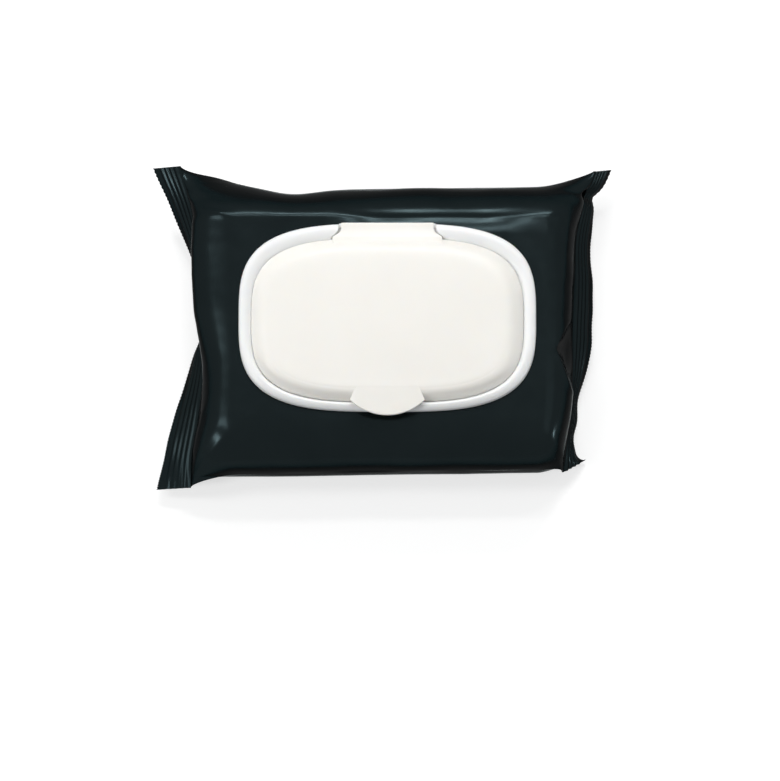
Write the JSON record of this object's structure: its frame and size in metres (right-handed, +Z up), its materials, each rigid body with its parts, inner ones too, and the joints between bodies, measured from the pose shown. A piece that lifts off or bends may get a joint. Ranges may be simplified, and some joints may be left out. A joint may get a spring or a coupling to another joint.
{
  "type": "wet wipes pack",
  "caption": "Soft film pouch of folded wet wipes lying flat, with crimped end seals and a moulded flip lid on a hinge over its opening.",
  "frame": {"origin": "on the surface the pack lies on, under the middle of the pack's outline seen from above", "axes": "+X along the pack from one end seal to the other, +Y from the thumb tab towards the hinge, +Z up"},
  "size_m": [0.1654, 0.1192, 0.0384],
  "materials": {
    "film_pouch": "matt printed laminate film",
    "lid_frame": "satin white polypropylene",
    "flip_lid": "satin white polypropylene",
    "wipe_stack": "wet nonwoven",
    "top_wipe": "wet nonwoven"
  },
  "bodies": {
    "pack": {"film_pouch": "film_pouch", "lid_frame": "lid_frame", "wipe_stack": "wipe_stack", "top_wipe": "top_wipe"},
    "lid": {"flip_lid": "flip_lid"}
  },
  "joints": [
    {"name": "lid_hinge", "type": "hinge", "parent": "pack", "child": "lid", "pos_m": [0.00179, 0.03116, 0.0345], "axis": [-1, 0, 0], "range_deg": [0, 130]}
  ]
}
